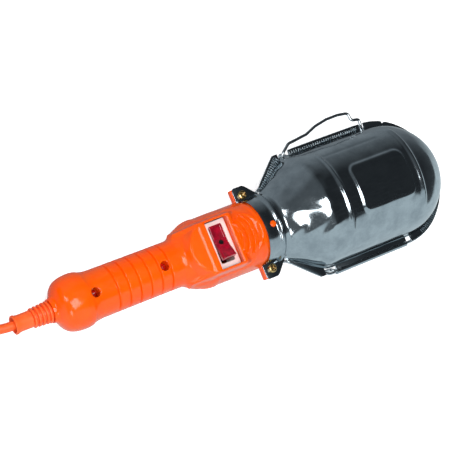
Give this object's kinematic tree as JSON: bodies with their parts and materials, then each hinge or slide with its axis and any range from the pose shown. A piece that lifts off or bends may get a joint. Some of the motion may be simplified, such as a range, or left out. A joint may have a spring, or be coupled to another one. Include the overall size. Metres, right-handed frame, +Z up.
{
  "type": "work light",
  "caption": "Hand-held work light: ribbed orange handle with rocker switch, half-shell metal shade, hinged wire guard with spring latch, and mains cord with plug.",
  "frame": {"origin": "on the floor, under the middle of the lamp's box without its cord", "axes": "+X from the cord end to the dome end, +Y towards the guard's latch, +Z up; the lamp lies face down on its guard and its tail"},
  "size_m": [0.4628, 0.1663, 0.0942],
  "materials": {
    "orange_plastic": "glossy injection-moulded orange ABS",
    "orange_rubber": "satin moulded orange rubber",
    "orange_cord": "satin orange PVC jacket",
    "zinc_sheet": "bright zinc-plated pressed steel",
    "zinc_wire": "bright zinc-plated wire",
    "zinc_screw": "zinc-plated screw",
    "yellow_zinc": "yellow-passivated zinc-plated screw",
    "brass": "brass contact",
    "nickel": "nickel-plated brass pin",
    "aluminium": "pressed aluminium cap",
    "tungsten": "tungsten filament",
    "white_plastic": "off-white plastic",
    "white_ceramic": "glazed porcelain",
    "red_rocker": "translucent dark red plastic",
    "clear_glass": "clear blown glass",
    "black_strap": "black hook-and-loop strap",
    "brown_lead": "brown PVC insulation",
    "blue_lead": "blue PVC insulation"
  },
  "bodies": {
    "root": {"handle_back_shell": "orange_plastic", "handle_front_shell": "orange_plastic", "handle_screw_tail": "zinc_screw", "handle_screw_grip": "zinc_screw", "ear_screw_latch_side": "yellow_zinc", "ear_screw_hinge_side": "yellow_zinc", "ear_nut_latch_side": "yellow_zinc", "ear_nut_hinge_side": "yellow_zinc", "switch_housing": "white_plastic", "switch_spring_blade": "brass", "switch_terminal_live": "brass", "switch_terminal_lamp": "brass", "reflector_shell": "zinc_sheet", "lampholder_cup": "white_ceramic", "lampholder_screw_shell": "brass", "lampholder_centre_contact": "brass", "bulb_cap": "aluminium", "bulb_glass": "clear_glass", "bulb_stem": "clear_glass", "bulb_filament": "tungsten", "cord_jacket_end": "orange_cord", "cord_clamp_bar": "white_plastic", "cord_clamp_screw_latch_side": "zinc_screw", "cord_clamp_screw_hinge_side": "zinc_screw", "lead_live": "brown_lead", "lead_neutral": "blue_lead", "lead_switched": "brown_lead", "cord_sleeve": "orange_rubber", "cord_tube": "orange_cord", "cord_coil": "orange_cord", "cord_tie": "black_strap", "cord_tail": "orange_cord", "plug_body": "orange_plastic", "plug_pin_left": "nickel", "plug_pin_right": "nickel"},
    "guard": {"guard_frame_wire": "zinc_wire", "guard_hoop_neck": "zinc_wire", "guard_hoop_middle": "zinc_wire", "guard_hoop_dome": "zinc_wire", "guard_side_bar_latch_side": "zinc_wire", "guard_side_bar_hinge_side": "zinc_wire", "guard_front_bar_latch_side": "zinc_wire", "guard_front_bar_hinge_side": "zinc_wire"},
    "latch": {"guard_latch_bow": "zinc_wire"},
    "rocker": {"switch_rocker": "red_rocker"}
  },
  "joints": [
    {"name": "switch_tilt", "type": "hinge", "parent": "root", "child": "rocker", "pos_m": [-0.02295, -0.00517, 0.04801], "axis": [0.9922, 0, 0.125], "range_deg": [0, 26]},
    {"name": "guard_hinge", "type": "hinge", "parent": "root", "child": "guard", "pos_m": [0.09196, -0.05247, 0.04631], "axis": [-0.9922, 0, -0.125], "range_deg": [0, 110]},
    {"name": "latch_pivot", "type": "hinge", "parent": "guard", "child": "latch", "pos_m": [0.0921, 0.03803, 0.04517], "axis": [-0.9922, 0, -0.125], "range_deg": [0, 60]}
  ]
}
